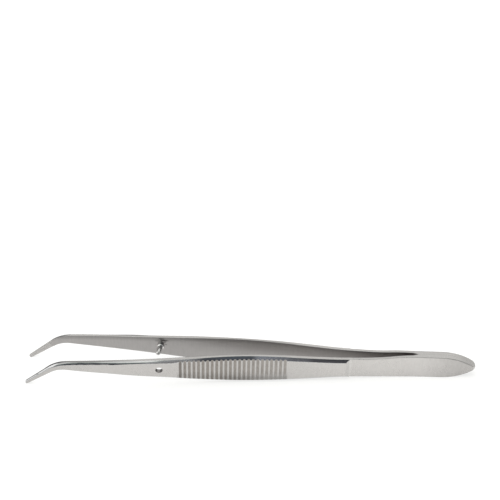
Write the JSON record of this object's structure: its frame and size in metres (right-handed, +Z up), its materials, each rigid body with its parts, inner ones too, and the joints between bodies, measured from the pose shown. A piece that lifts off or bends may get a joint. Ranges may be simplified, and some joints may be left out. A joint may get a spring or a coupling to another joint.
{
  "type": "cotton pliers",
  "caption": "Spring-arm pliers with bent, toothed tips, grooved finger grips, a guide pin between the arms and a welded, pointed tail.",
  "frame": {"origin": "on the table that the pliers lie on, below the middle of the whole in length and width", "axes": "+X towards the pointed tail, -X towards the tips; +Y from the arm with the guide hole towards the arm that carries the guide pin; +Z up, with the tips bent down"},
  "size_m": [0.1506, 0.0142, 0.0121],
  "materials": {
    "arm_steel": "satin",
    "pin_steel": "turned, lightly polished"
  },
  "bodies": {
    "root": {"near_arm": "arm_steel", "far_arm": "arm_steel", "guide_pin": "pin_steel"}
  },
  "joints": []
}
